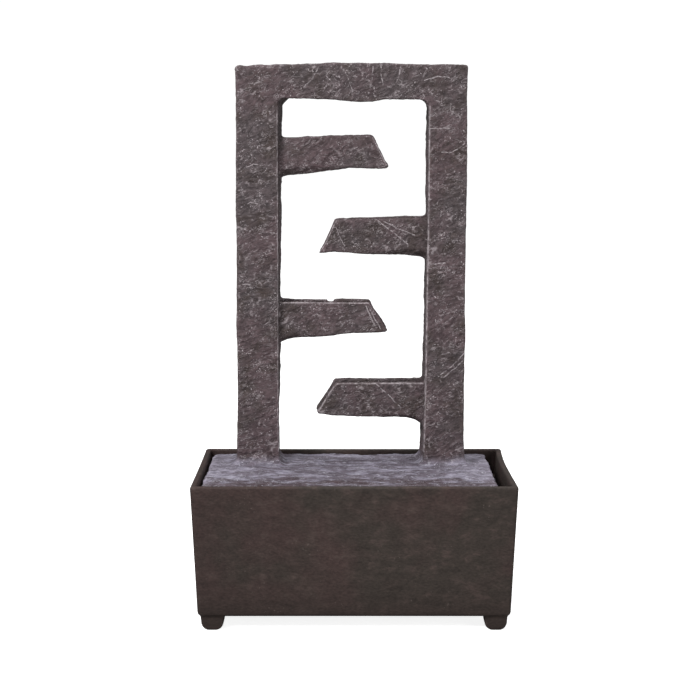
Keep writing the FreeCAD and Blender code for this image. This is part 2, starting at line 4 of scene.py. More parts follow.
import bmesh
import bpy
import numpy as np
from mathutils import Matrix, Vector


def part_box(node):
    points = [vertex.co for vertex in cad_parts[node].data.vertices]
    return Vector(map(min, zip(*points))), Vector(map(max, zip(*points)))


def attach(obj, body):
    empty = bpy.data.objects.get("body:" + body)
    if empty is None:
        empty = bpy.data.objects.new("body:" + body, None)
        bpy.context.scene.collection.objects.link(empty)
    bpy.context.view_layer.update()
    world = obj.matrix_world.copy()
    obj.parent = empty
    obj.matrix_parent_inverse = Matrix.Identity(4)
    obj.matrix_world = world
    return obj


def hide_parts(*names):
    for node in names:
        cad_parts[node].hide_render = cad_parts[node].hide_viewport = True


# The looks of a tabletop water fountain. The shapes are worked out in millimetres: +X to the right,
# +Y to the back, +Z up from the surface that the feet stand on.

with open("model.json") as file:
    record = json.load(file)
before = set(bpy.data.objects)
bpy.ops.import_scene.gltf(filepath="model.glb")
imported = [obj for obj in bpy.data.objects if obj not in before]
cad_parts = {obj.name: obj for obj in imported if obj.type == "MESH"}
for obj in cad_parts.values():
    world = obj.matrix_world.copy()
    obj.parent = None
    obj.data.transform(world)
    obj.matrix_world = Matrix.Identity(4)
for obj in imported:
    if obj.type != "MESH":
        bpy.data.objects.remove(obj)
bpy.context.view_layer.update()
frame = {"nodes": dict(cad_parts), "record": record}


MM = 0.001


def cad(node):
    """(lowest, highest) corner of a CAD node, in millimetres."""
    low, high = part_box(node)
    return [v / MM for v in low], [v / MM for v in high]


# ---------------------------------------------------------------- noise

SHUFFLE = np.random.default_rng(41).permutation(256)
SLOPES = np.random.default_rng(42).normal(size=(256, 3)).astype(np.float32)
SLOPES /= np.linalg.norm(SLOPES, axis=1, keepdims=True)


def noise(points, size, seed):
    """Smooth gradient noise at each point, about -1 to 1, with lumps about one size across."""
    shift = np.array([seed * 17.13, seed * 5.71, seed * 11.37], np.float32)
    p = (points / size + shift).astype(np.float32)
    cell = np.floor(p).astype(np.int32)
    f = p - cell
    fade = f * f * f * (f * (f * 6 - 15) + 10)
    total = np.zeros(len(p), np.float32)
    for corner in np.ndindex(2, 2, 2):
        step = np.array(corner, np.int32)
        at = cell + step
        pick = SHUFFLE[(SHUFFLE[(SHUFFLE[at[:, 0] & 255] + at[:, 1]) & 255] + at[:, 2]) & 255]
        weight = np.prod(np.where(step, fade, 1 - fade), axis=1)
        total += weight * np.einsum("ij,ij->i", SLOPES[pick], f - step)
    return total * 1.7


def stretched(points, direction, ratio):
    """The points squeezed along a direction, so that noise at them is drawn out along it."""
    d = np.array(direction, np.float32)
    d /= np.linalg.norm(d)
    along = points @ d
    return points - np.outer(along * (1 - 1 / ratio), d)


def ridged(values, width):
    """1 on the lines where the noise crosses zero, falling to 0 at a width from them."""
    return np.clip(1 - np.abs(values) / width, 0, 1)


# ---------------------------------------------------------------- distance fields

def both(a, b, r):
    """Where both shapes are, with the edge between them rounded by r."""
    u, v = np.maximum(a + r, 0), np.maximum(b + r, 0)
    return np.minimum(-r, np.maximum(a, b)) + np.sqrt(u * u + v * v)


def either(a, b, r):
    """Where either shape is, with the inside corner between them filled by r."""
    return -both(-a, -b, r)


def track(table, at):
    """Straight runs between (place, value) pairs."""
    places, values = zip(*table)
    return np.interp(at, places, values).astype(np.float32)


def outline(points, x, z):
    """Distance to a closed outline in the X-Z plane, below zero inside it."""
    gap = np.full(np.broadcast(x, z).shape, 1e9, np.float32)
    inside = np.zeros(gap.shape, bool)
    for (ax, az), (bx, bz) in zip(points, points[1:] + points[:1]):
        ex, ez = bx - ax, bz - az
        t = np.clip(((x - ax) * ex + (z - az) * ez) / (ex * ex + ez * ez), 0, 1)
        gap = np.minimum(gap, (x - ax - t * ex) ** 2 + (z - az - t * ez) ** 2)
        if az != bz:
            inside ^= ((z >= az) != (z >= bz)) & (x < ax + (z - az) * ex / ez)
    return np.where(inside, -1, 1) * np.sqrt(gap)


def brick(x, y, z, low, high, r):
    """A block between two corners, with its edges rounded by r."""
    across = both(np.maximum(low[0] - x, x - high[0]), np.maximum(low[1] - y, y - high[1]), r)
    return both(across, np.maximum(low[2] - z, z - high[2]), r)


def spread(*runs):
    """Grid places along one axis, from (start, end, step) runs that follow one another."""
    places = [np.arange(start, end - step / 2, step) for start, end, step in runs]
    return np.concatenate(places + [[runs[-1][1]]]).astype(np.float32)


def places_in(mask, axes):
    """The points of the grid where a mask is set."""
    spots = np.argwhere(mask)
    return np.stack([axes[k][spots[:, k]] for k in range(3)], axis=1)


def surface_net(field, axes):
    """Vertices and outward quads on a field's zero level, one vertex in each cell it crosses."""
    inside = field < 0
    cells = np.array(field.shape) - 1
    corners, spots, quads, made = [], [], [], 0
    for axis in range(3):
        b, c = (axis + 1) % 3, (axis + 2) % 3
        low, high = [slice(None)] * 3, [slice(None)] * 3
        low[axis], high[axis] = slice(0, -1), slice(1, None)
        low, high = tuple(low), tuple(high)
        edges = np.argwhere(inside[low] != inside[high])
        start = field[low][tuple(edges.T)]
        end = field[high][tuple(edges.T)]
        at = np.stack([axes[k][edges[:, k]] for k in range(3)], axis=1)
        span = axes[axis][edges[:, axis] + 1] - axes[axis][edges[:, axis]]
        at[:, axis] += span * start / (start - end)
        for db, dc in ((1, 1), (0, 1), (0, 0), (1, 0)):
            cell = edges.copy()
            cell[:, b] -= db
            cell[:, c] -= dc
            corners.append(np.ravel_multi_index(tuple(cell.T), tuple(cells)))
            spots.append(at)
        ring = made + np.arange(4 * len(edges)).reshape(4, -1).T
        ring[start > 0] = ring[start > 0][:, ::-1]
        quads.append(ring)
        made += 4 * len(edges)
    index = np.unique(np.concatenate(corners), return_inverse=True)[1]
    count = np.bincount(index)
    spots = np.concatenate(spots)
    verts = np.stack([np.bincount(index, spots[:, k]) / count for k in range(3)], axis=1)
    return verts, index[np.concatenate(quads)]


def vertex_normals(verts, quads):
    a, b, c, d = (verts[quads[:, k]] for k in range(4))
    face = np.cross(c - a, d - b)
    total = np.stack([np.bincount(quads.ravel(), np.repeat(face[:, k], 4), len(verts))
                      for k in range(3)], axis=1)
    return total / np.maximum(np.linalg.norm(total, axis=1, keepdims=True), 1e-12)


def smoothed(values, quads, rounds):
    """Each vertex's values averaged with its neighbours', a number of times."""
    ends = np.concatenate([quads[:, (k, (k + 1) % 4)] for k in range(4)])
    count = np.bincount(ends[:, 0], minlength=len(values))[:, None]
    for _ in range(rounds):
        total = np.stack([np.bincount(ends[:, 0], values[ends[:, 1], k], len(values))
                          for k in range(values.shape[1])], axis=1)
        values = (values + total / count) / 2
    return values


def add_piece(name, verts, quads, normals, attributes, body, nodes, material):
    """A closed mesh from part of a net: the faces given, and a cap over each place it was cut."""
    used, index = np.unique(quads, return_inverse=True)
    mesh = bpy.data.meshes.new(name)
    mesh.from_pydata((verts[used] * MM).tolist(), [], index.reshape(-1, 4).tolist())
    for label, values in attributes.items():
        attribute = mesh.attributes.new(label, "FLOAT", "POINT")
        attribute.data.foreach_set("value", values[used].astype(np.float32))
    work = bmesh.new()
    work.from_mesh(mesh)
    open_edges = [e for e in work.edges if e.is_boundary]
    if open_edges:
        caps = bmesh.ops.holes_fill(work, edges=open_edges, sides=0)["faces"]
        bmesh.ops.triangulate(work, faces=caps)
    work.to_mesh(mesh)
    work.free()
    mesh.polygons.foreach_set("use_smooth", [True] * len(mesh.polygons))
    mesh.normals_split_custom_set_from_vertices(normals[used].tolist())
    piece = bpy.data.objects.new(name, mesh)
    bpy.context.scene.collection.objects.link(piece)
    mesh.materials.append(material)
    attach(piece, body)
    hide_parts(*nodes)


# ---------------------------------------------------------------- node helpers

class Tree:
    """Adds nodes to a material and links them, with plain values set on the sockets."""

    def __init__(self, name):
        self.material = bpy.data.materials.new(name)
        self.material.use_nodes = True
        self.nodes = self.material.node_tree.nodes
        self.links = self.material.node_tree.links
        self.shader = self.nodes["Principled BSDF"]
        self.points = self.vector("SCALE", self.add("TexCoord").outputs["Object"], Scale=1 / MM)

    def add(self, kind, inputs=None, **settings):
        node = self.nodes.new("ShaderNode" + kind)
        for key, value in settings.items():
            setattr(node, key, value)
        for key, value in (inputs or {}).items():
            self.put(node.inputs[key], value)
        return node

    def put(self, socket, value):
        if isinstance(value, bpy.types.NodeSocket):
            self.links.new(value, socket)
        else:
            socket.default_value = value

    def math(self, kind, *values):
        return self.add("Math", dict(enumerate(values)), operation=kind).outputs[0]

    def vector(self, kind, *values, **named):
        node = self.add("VectorMath", {**dict(enumerate(values)), **named}, operation=kind)
        return node.outputs["Value" if kind in ("DOT_PRODUCT", "LENGTH") else "Vector"]

    def ramp(self, value, low, high, to_low=0.0, to_high=1.0):
        """The value stretched smoothly from one range to another."""
        node = self.add("MapRange", {0: value, 1: low, 2: high, 3: to_low, 4: to_high},
                        interpolation_type="SMOOTHSTEP")
        return node.outputs[0]

    def mix(self, amount, a, b):
        return self.add("Mix", {0: amount, 6: a, 7: b}, data_type="RGBA").outputs[2]

    def noise(self, size, detail=2.0, at=None, rough=0.5):
        """Noise with lumps about one size across, in millimetres."""
        inputs = {"Vector": at or self.points, "Scale": 1 / size, "Detail": detail,
                  "Roughness": rough}
        return self.add("TexNoise", inputs).outputs

    def warped(self, size, reach, at=None):
        """The points pushed about by noise, by up to a reach in millimetres."""
        at = at or self.points
        push = self.vector("SUBTRACT", self.noise(size, 1.0, at)["Color"], (0.5, 0.5, 0.5))
        return self.vector("ADD", at, self.vector("SCALE", push, Scale=2 * reach))

    def grain_along(self, at, axis, angle, size, length):
        """Points turned about an axis and squeezed, so that noise is drawn out one way."""
        turned = self.add("VectorRotate", {"Vector": at, "Axis": axis, "Angle": angle},
                          rotation_type="AXIS_ANGLE").outputs[0]
        return self.vector("MULTIPLY", turned, (1 / length, 1 / size, 1 / size))

    def attribute(self, name):
        return self.add("Attribute", attribute_name=name).outputs["Fac"]

    def finish(self, color, roughness, height, reach, specular=0.5, **shader):
        """Colour, roughness and a bump of up to a reach in millimetres on the shader."""
        bump = self.add("Bump", {"Height": height, "Distance": reach * MM, "Strength": 1.0})
        self.put(self.shader.inputs["Base Color"], color)
        self.put(self.shader.inputs["Roughness"], roughness)
        self.put(self.shader.inputs["Normal"], bump.outputs[0])
        self.shader.inputs["Specular IOR Level"].default_value = specular
        for key, value in shader.items():
            self.shader.inputs[key].default_value = value
        return self.material


def srgb(red, green, blue):
    """A colour given as 0 to 255, in the linear form that a shader takes."""
    parts = [v / 255 for v in (red, green, blue)]
    return tuple(v / 12.92 if v <= 0.04045 else ((v + 0.055) / 1.055) ** 2.4
                 for v in parts) + (1.0,)


# ---------------------------------------------------------------- stone material

# (x, z) runs of the long scratches and cracks on the front faces, each with its half width
SCRATCHES = [
    (0.5, (-22.4, 345), (-26, 338), (-31.8, 331.8)),
    (0.5, (12.2, 345), (11.4, 338), (10.1, 332)),
    (0.5, (17.3, 346), (17.2, 340), (18.4, 333.5)),
    (0.45, (29.6, 346), (28.1, 337)),
    (0.4, (-3.5, 338), (-2.2, 334), (-0.7, 329)),
    (0.55, (44.7, 336.4), (53.4, 339), (60.6, 338)),
    (0.45, (33.2, 329), (38.9, 335.4)),
    (0.4, (46.9, 305.8), (56, 306.2), (65, 305.5)),
    (0.45, (53.4, 291.4), (60.6, 290.6), (66, 292.8), (70.7, 296.4)),
    (0.55, (54.8, 146.6), (63, 153), (71.4, 161.7)),
    (0.5, (58, 146), (66, 152.6), (71.5, 158)),
    (0.6, (49.8, 219.5), (58.5, 220.2)),
    (0.55, (13.5, 248), (24, 240.5), (34.8, 232)),
    (0.5, (19, 247), (28, 242), (39.1, 237.8)),
    (0.4, (-11.7, 243.6), (-9, 236), (-5.8, 230.6)),
    (0.5, (14, 141), (22, 134.5), (30.4, 125.1)),
    (0.6, (7, 193), (10.5, 185.5), (14.4, 177.5)),
    (0.5, (10, 190.5), (13.2, 184.5), (17.2, 177)),
    (0.5, (-73.6, 205.8), (-67, 206.6), (-60.7, 209.4)),
    (0.45, (-70, 281), (-64, 283.5), (-57, 282.5)),
    (0.45, (-72, 256), (-66, 259.5), (-61, 258)),
]

# the same for the edges that are rubbed bright
RUBBED_EDGES = [
    (0.7, (48.2, 320), (47.9, 255), (47.2, 205), (46.6, 148), (45.9, 112), (45.5, 97)),
    (0.45, (-48.9, 318), (-49.0, 205), (-49.2, 117), (-48.9, 97)),
    (0.5, (-47, 194.0), (-15, 193.9), (9.4, 193.7)),
    (0.7, (45.5, 141.2), (0, 141.2), (-11.4, 140.8), (-15.6, 135), (-22.8, 123.6)),
    (0.4, (12, 300.2), (20.9, 282.6)),
    (0.4, (-12, 246), (-17.2, 234.4), (-21.6, 227)),
]


def line_mask(tree, lines, wobble):
    """1 along lines on the front faces."""
    wavy = tree.warped(4.0, wobble)
    flat = tree.vector("MULTIPLY", wavy, (1, 0, 1))
    mask = None
    for width, *stops in lines:
        for (ax, az), (bx, bz) in zip(stops, stops[1:]):
            ex, ez = bx - ax, bz - az
            length = ex * ex + ez * ez
            away = tree.vector("SUBTRACT", flat, (ax, 0, az))
            share = tree.vector("DOT_PRODUCT", away, (ex / length, 0, ez / length))
            share = tree.math("MAXIMUM", tree.math("MINIMUM", share, 1.0), 0.0)
            run = tree.vector("SCALE", (ex, 0, ez), Scale=share)
            gap = tree.vector("LENGTH", tree.vector("SUBTRACT", away, run))
            line = tree.ramp(gap, width, 0.25 * width)
            mask = line if mask is None else tree.math("MAXIMUM", mask, line)
    front = tree.ramp(tree.add("SeparateXYZ", {0: tree.points}).outputs[1], 27.0, 24.0)
    return tree.math("MULTIPLY", mask, front)


def stone(name):
    tree = Tree(name)
    x, y, z = tree.add("SeparateXYZ", {0: tree.points}).outputs
    soft_z = tree.math("ADD", z, tree.math("MULTIPLY", tree.noise(9.0)["Fac"], 6.0))
    deck = tree.ramp(soft_z, 99.0, 91.0)
    relief, worn, ridge = (tree.attribute(label) for label in ("relief", "worn", "crest"))

    # large patches of purple brown, grey green and dark brown
    broad = tree.noise(30.0, 3.0, rough=0.6)["Fac"]
    second = tree.noise(15.0, 3.0, tree.warped(25.0, 9.0), 0.6)["Fac"]
    color = tree.mix(tree.ramp(broad, 0.38, 0.64), srgb(85, 71, 74), srgb(78, 70, 72))
    color = tree.mix(tree.ramp(second, 0.42, 0.74), color, srgb(66, 56, 54))
    side = tree.ramp(tree.math("ABSOLUTE", tree.math("ADD", x, 3.0)), 50.0, 84.0)
    streaks = tree.noise(1.0, 3.0, tree.vector("MULTIPLY", tree.warped(14.0, 4.0),
                                               (1 / 15, 1 / 7, 1 / 7)), 0.6)["Fac"]
    ragged = tree.math("MULTIPLY_ADD", second, 45.0, tree.math("MULTIPLY_ADD", streaks, 40.0, y))
    front = tree.ramp(ragged, 34.0, -2.0)
    pale = tree.math("MULTIPLY_ADD", side, 0.35, tree.ramp(streaks, 0.45, 0.62))
    pale = tree.math("MULTIPLY", pale, tree.math("MULTIPLY_ADD", front, -0.7, 1.0))
    deck_color = tree.mix(front, srgb(103, 95, 106), srgb(74, 60, 65))
    deck_color = tree.mix(tree.math("MINIMUM", pale, 1.0), deck_color, srgb(146, 141, 156))
    color = tree.mix(deck, color, deck_color)

    # wrinkles drawn out up and to the right, in two directions that take turns
    bent = tree.warped(5.0, 1.6)
    turns = tree.ramp(tree.noise(24.0, 1.0)["Fac"], 0.42, 0.58)
    steep = tree.noise(1.0, 2.0, tree.grain_along(bent, (0, 1, 0), math.radians(40), 2.0, 5.0))
    flatter = tree.noise(1.0, 2.0, tree.grain_along(bent, (0, 1, 0), math.radians(12), 1.8, 6.0))
    level = tree.noise(1.0, 3.0, tree.vector("MULTIPLY", bent, (1 / 8, 1 / 2.6, 1 / 2.6)))
    wrinkle = tree.mix(turns, steep["Fac"], flatter["Fac"])
    wrinkle = tree.mix(deck, wrinkle, level["Fac"])
    crest = tree.ramp(tree.math("ABSOLUTE", tree.math("SUBTRACT", wrinkle, 0.5)), 0.05, 0.0)
    thin = tree.noise(1.0, 1.0, tree.grain_along(bent, (0, 1, 0), math.radians(22), 1.2, 5.5))["Fac"]
    thin = tree.ramp(tree.math("ABSOLUTE", tree.math("SUBTRACT", thin, 0.5)), 0.035, 0.0)
    rise = tree.ramp(wrinkle, 0.32, 0.68)
    lie = tree.grain_along(bent, (0, 1, 0), math.radians(16), 1.0, 2.6)
    grain = tree.noise(0.75, 2.0, lie)["Fac"]
    coarse = tree.noise(2.0, 3.0, lie, 0.65)["Fac"]
    busy = tree.ramp(tree.noise(10.0, 2.0)["Fac"], 0.42, 0.64)
    crest = tree.math("MULTIPLY", crest, tree.ramp(coarse, 0.44, 0.6))
    patch = tree.ramp(tree.noise(7.0, 2.0, tree.warped(12.0, 3.0))["Fac"], 0.46, 0.62)
    thin = tree.math("MULTIPLY", thin, tree.math("MULTIPLY", patch, tree.ramp(coarse, 0.4, 0.55)))
    ridge = tree.math("MULTIPLY", tree.ramp(ridge, 0.35, 0.95), tree.ramp(coarse, 0.34, 0.56))

    broken = tree.ramp(tree.noise(1.6)["Fac"], 0.34, 0.56)
    scratches = tree.math("MULTIPLY", line_mask(tree, SCRATCHES, 0.7), broken)
    rubbed = tree.ramp(tree.noise(2.6, 2.0)["Fac"], 0.36, 0.62, 0.25, 1.0)
    rubbed = tree.math("MULTIPLY", line_mask(tree, RUBBED_EDGES, 0.3), rubbed)
    flecks = tree.ramp(tree.noise(1.1, 1.0)["Fac"], 0.65, 0.72)
    flecks = tree.math("MULTIPLY", flecks, tree.math("MULTIPLY_ADD", patch, 0.75, 0.12))

    # darker in the hollows and lighter on the rises
    shade = tree.math("MULTIPLY_ADD", relief, 0.2, 0.99)
    for part, share in ((rise, 0.42), (grain, 0.65), (coarse, 0.5)):
        shade = tree.math("ADD", shade, tree.math("MULTIPLY_ADD", part, share, -share / 2))
    tinted = tree.vector("SCALE", color, Scale=tree.math("MAXIMUM", shade, 0.4))

    silver = tree.mix(deck, srgb(196, 186, 190), srgb(214, 213, 224))
    edge = tree.math("MULTIPLY", worn, tree.ramp(tree.noise(2.0, 3.0)["Fac"], 0.36, 0.56))
    bright = tree.math("MULTIPLY", crest, tree.math("MULTIPLY_ADD", busy, 0.4, 0.1))
    for part, share in ((ridge, 0.46), (thin, 0.52), (flecks, 0.9), (scratches, 0.66),
                        (rubbed, 0.68), (edge, 0.6)):
        bright = tree.math("MAXIMUM", bright, tree.math("MULTIPLY", part, share))
    color = tree.mix(bright, tinted, silver)

    height = tree.math("MULTIPLY", rise, 0.5)
    for part, share in ((grain, 0.2), (coarse, 0.55), (crest, 0.3), (scratches, 0.3)):
        height = tree.math("MULTIPLY_ADD", part, share, height)
    rough = tree.ramp(bright, 0.0, 1.0, 0.75, 0.5)
    return tree.finish(color, rough, height, 0.8, specular=0.28)


# ---------------------------------------------------------------- arch, troughs and deck

deck_low, deck_high = cad("deck_casting")
arch_low, arch_high = cad("arch_casting")
DECK_TOP = deck_high[2]
ARCH_FRONT, ARCH_BACK = arch_low[1], arch_high[1]
TROUGH_FRONT, TROUGH_BACK = cad("first_trough")[0][1], cad("first_trough")[1][1]
TROUGH_WALL, FLOOR_DROP, LIP = 3.0, 11.0, 2.5
ROOT_FILLET, FOOT_FLARE = 2.6, 5.5
HOSE_CHANNEL, HOSE_HOLE, SPOUT_HOLE, COVER_GAP = 5.5, 6.0, 3.5, 0.25
BEAM_FROM = 312
# how near the surface the relief is worked out, and the relief that counts as full
RELIEF_REACH, FULL_RELIEF = 1.9, 0.07

# the arch's own edges: x of each side by height, and the heights of the beam's faces by x
LEFT_SIDE = [(89, -76.2), (110, -75.7), (140, -75.4), (160, -75.2), (179, -76.0), (205, -75.3),
             (228, -75.2), (255, -75.6), (285, -75.5), (315, -74.9), (330, -75.2), (348, -75.5)]
RIGHT_SIDE = [(89, 71.9), (110, 71.3), (140, 71.3), (175, 71.8), (200, 71.5), (240, 71.9),
              (290, 72.2), (330, 72.1), (348, 72.5)]
TOP_FACE = [(-76, 345.4), (-58, 346.0), (-35, 346.6), (-27, 346.9), (-12, 347.4), (-4, 347.5),
            (8, 347.3), (27, 346.9), (43, 346.4), (68, 346.4), (73, 346.2)]
UNDER_BEAM = [(-47, 326.1), (-35, 325.9), (-19, 325.4), (-12, 325.0), (-4, 324.2), (4, 323.8),
              (12, 324.0), (19, 325.4), (27, 325.7), (35, 325.4), (47, 325.2)]
INNER_LEFT_BACK = [(89, -49.0), (105, -49.6), (117, -49.8), (135, -49.2), (150, -48.5),
                   (205, -48.4), (225, -48.0), (250, -47.4), (300, -47.0), (330, -46.9)]
INNER_LEFT_FRONT = [(89, -48.6), (117, -48.9), (200, -48.7), (330, -48.5)]
INNER_RIGHT_BACK = [(89, 43.2), (106, 44.1), (145, 45.4), (180, 46.0), (215, 46.5), (255, 47.1),
                    (330, 47.1)]
INNER_RIGHT_FRONT = [(89, 45.2), (145, 46.2), (200, 46.9), (255, 47.6), (330, 47.9)]

# how far the deck's edges are chipped back, by x or by y
DECK_BACK = [(-94, 0.6), (-20, 0.2), (-4, 1.0), (5, 2.6), (14, 0.8), (90, 0.4)]
DECK_FRONT = [(-94, 0.6), (-40, 0.2), (10, 0.7), (50, 0.1), (90, 0.8)]
DECK_LEFT = [(-54, 0.0), (0, 0.4), (40, 0.1), (54, 0.8)]
DECK_RIGHT = [(-54, -0.2), (-10, 0.4), (30, 0.1), (54, 1.2)]

# each trough's front outline, from its root's top round its tip to its root's foot
TROUGHS = {
    "first": [(-52, 300.2), (-35, 300.6), (-20, 301.2), (-5, 301.7), (8, 302.0), (11, 301.9),
              (12.6, 300.9), (16, 293.5), (21.6, 283.2), (21.9, 281.8), (20.6, 280.6),
              (12, 280.8), (-4, 280.8), (-12, 279.7), (-19, 278.3), (-27, 277.6), (-35, 277.0),
              (-43, 275.8), (-52, 273.6)],
    "second": [(52, 249.3), (43, 249.0), (27, 248.8), (10, 248.4), (0, 248.1), (-10, 247.7),
               (-12.4, 247.0), (-15.5, 240), (-17.8, 234.5), (-19.6, 231), (-22.6, 226.5),
               (-21.4, 225.9), (-18, 226.6), (-12, 227.3), (-4, 226.4), (8, 225.5), (20, 225.0),
               (35, 224.5), (43, 223.2), (52, 220.5)],
    "third": [(-52, 194.7), (-15, 194.4), (9.6, 194.3), (10.9, 193.3), (13, 188.6), (16.6, 183.6),
              (21.6, 175.8), (20.4, 174.9), (10, 174.6), (4, 174.3), (-5, 173.4), (-12, 172.7),
              (-20, 172.1), (-30, 171.4), (-38, 170.6), (-43, 169.5), (-52, 166)],
    "fourth": [(52, 142.2), (30, 141.9), (0, 141.9), (-11.6, 141.6), (-13.2, 140.4), (-16, 135.8),
               (-19.5, 130), (-23.2, 124.4), (-24.2, 122.9), (-23.4, 121.3), (-19, 120.6),
               (-12, 119.9), (-4, 119.6), (4, 119.3), (19, 118.9), (30, 118.6), (35, 118.1),
               (40, 116.6), (45, 113.5), (52, 108)],
}
# the bevel along the lower front edge of a trough: its size by x
BEVELS = {
    "first": [(-46, 4.0), (-25, 3.2), (-10, 1.6), (0, 0.0)],
    "second": [(5, 0.0), (20, 2.0), (34, 3.8), (46, 4.0)],
    "third": [(-46, 2.4), (-25, 1.0), (-12, 0.0)],
    "fourth": [(8, 0.0), (28, 1.6), (46, 2.4)],
}


def arch_field(x, y, z):
    lean = (y - ARCH_FRONT) / (ARCH_BACK - ARCH_FRONT)
    sides = np.maximum(track(LEFT_SIDE, z) + 0.5 * lean - x, x - track(RIGHT_SIDE, z) + 0.5 * lean)
    slab = both(sides, z - track(TOP_FACE, x), 1.6)
    slab = both(slab, np.maximum(ARCH_FRONT - y, y - ARCH_BACK), 1.1)
    left = track(INNER_LEFT_FRONT, z) * (1 - lean) + track(INNER_LEFT_BACK, z) * lean
    right = track(INNER_RIGHT_FRONT, z) * (1 - lean) + track(INNER_RIGHT_BACK, z) * lean
    under = z - track(UNDER_BEAM, x) + 0.8 * (1 - lean)
    chunk = (left - x + under + 1.5 + 3.4 * lean) / math.sqrt(2)
    window = both(both(both(left - x, under, 2.5), chunk, 1.2), both(x - right, under, 6.5), 0.1)
    return both(slab, -window, 1.1)


def trough_field(order, x, y, z):
    points = TROUGHS[order]
    shape = outline(points, x[:, :, 0], z[0, :, :].reshape(1, -1))[:, None, :]
    shape = both(shape, np.maximum(TROUGH_FRONT - y, y - TROUGH_BACK), 0.9)
    root, top = points[0][0], max(point[1] for point in points)
    tip = max(points, key=lambda point: abs(point[0] - root))
    under = track(sorted(points[points.index(tip):]), x)
    bevel = (TROUGH_FRONT - y + under - z + track(BEVELS[order], x) * 1.3) / math.sqrt(2)
    shape = both(shape, bevel, 0.8)
    floor = track(sorted([(root, top - FLOOR_DROP), (tip[0], tip[1] + LIP)]), x)
    run = np.maximum(np.abs(y - (TROUGH_FRONT + TROUGH_BACK) / 2)
                     - (TROUGH_BACK - TROUGH_FRONT) / 2 + TROUGH_WALL, floor - z)
    return both(shape, -run, 0.7)


def deck_field(x, y, z):
    back, front = deck_high[1] - track(DECK_BACK, x), deck_low[1] + track(DECK_FRONT, x)
    left, right = deck_low[0] + track(DECK_LEFT, y), deck_high[0] - track(DECK_RIGHT, y)
    across = both(np.maximum(left - x, x - right), np.maximum(front - y, y - back), 4.0)
    return both(across, np.maximum(deck_low[2] - z, z - DECK_TOP + 0.4), 1.6)


def weathering(points):
    """How far the stone stands out at each point in millimetres, and how much of a crest it is."""
    bent = points + 1.6 * np.stack([noise(points, 8.0, s) for s in (3, 4, 5)], axis=1)
    steep = stretched(bent, (0.72, 0.35, 0.6), 2.6)
    flat = stretched(bent, (0.9, 0.4, 0.16), 3.0)
    turns = np.clip(noise(points, 24.0, 10) * 3 + 0.5, 0, 1)
    large = ridged(noise(steep, 3.6, 7), 0.3) * turns
    large = np.maximum(large, ridged(noise(flat, 3.3, 11), 0.3) * (1 - turns))
    small = ridged(noise(steep, 2.1, 12), 0.34)
    patchy = np.clip(noise(points, 10.0, 13) * 2.2 + 0.55, 0, 1)
    broken = np.clip(noise(points, 3.0, 14) * 2.5 + 0.7, 0, 1)
    large *= broken * (0.35 + 0.65 * patchy)
    small *= 1 - 0.6 * patchy
    steps = noise(steep, 8.0, 6) * 3
    ledges = (np.floor(steps) + np.clip((steps % 1 - 0.7) / 0.3, 0, 1)) * 0.15
    pits = np.clip(noise(points, 5.0, 8) - 0.4, 0, 1) * 0.5
    height = noise(points, 24.0, 1) * 0.3 + noise(points, 11.0, 2) * 0.2 + ledges - pits
    return height + large * 0.42 + small * 0.2, np.maximum(large, small * 0.35)


def stone_net():
    """The arch, the troughs and the deck as one rough surface."""
    fine, coarse = ((0.7, 1.0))
    axes = [spread((-96, 92, fine)), spread((-56, 13, coarse), (13, 51, fine), (51, 56, coarse)),
            spread((73, 85, coarse), (85, 350.5, fine))]
    x, y, z = axes[0][:, None, None], axes[1][None, :, None], axes[2][None, None, :]
    field = np.broadcast_to(arch_field(x, y, z), [len(a) for a in axes]).copy()
    for order in TROUGHS:
        field = either(field, trough_field(order, x, y, z), ROOT_FILLET)
    notch = brick(x, y, z, (-17.2, 37.5, 192.9), (-13.2, 44, 197), 0.6)
    field = both(field, -notch, 0.5)
    slab = deck_field(x, y, z)
    above = z > DECK_TOP - 4
    field = np.where(above, field, 60.0)
    field = either(field, slab, FOOT_FLARE)
    cover_low, cover_high = cad("hose_channel_cover")
    hose_low, hose_high = cad("riser_hose")
    middle = ((hose_low[0] + hose_high[0]) / 2, (hose_low[1] + hose_high[1]) / 2)
    left, right = cover_low[0] - COVER_GAP, cover_high[0] + COVER_GAP
    top = cover_high[2] + COVER_GAP
    # behind the cover the rebate starts higher, which leaves the flare at the upright's foot whole
    rebate = brick(x, y, z, (left, cover_low[1] - 0.1, 88), (right, cover_high[1] + 0.1, top), 0.2)
    behind = brick(x, y, z, (left, cover_low[1], 95), (right, 52, top), 0.2)
    rebate = np.minimum(rebate, behind)
    channel = brick(x, y, z, (middle[0] - HOSE_CHANNEL, middle[1] - HOSE_CHANNEL, 84),
                    (middle[0] + HOSE_CHANNEL, cover_low[1] + 1, 300), 0.2)
    bore = np.sqrt((x - middle[0]) ** 2 + (y - middle[1]) ** 2) - HOSE_HOLE
    drill = both(bore, z - DECK_TOP, 0.2)
    spout_y, spout_z = middle[1], (cad("outlet_elbow")[1][2] - 3.2)
    spout = both(np.sqrt((y - spout_y) ** 2 + (z - spout_z) ** 2) - SPOUT_HOLE,
                 np.maximum(middle[0] - x, x + 40), 0.1)
    for hollow in (rebate, channel, drill, spout):
        field = both(field, -hollow, 0.3)
    near = np.abs(field) < RELIEF_REACH
    places = places_in(near, axes)
    hidden = np.minimum(np.minimum(rebate, channel), drill)[near] < 1.0
    edge = ((places[:, 0] < -73.8) | (places[:, 0] > 70.0)) & (places[:, 2] > 96)
    field[near] -= weathering(places)[0] * np.where(hidden, 0.0, np.where(edge, 0.6, 1.0))
    field = np.maximum(field, z - arch_high[2] + 0.05)
    return surface_net(field, axes)


def relief_of(verts, quads, normals, rounds):
    """How far each vertex stands out from the surface smoothed a number of times."""
    return ((verts - smoothed(verts, quads, rounds)) * normals).sum(axis=1)


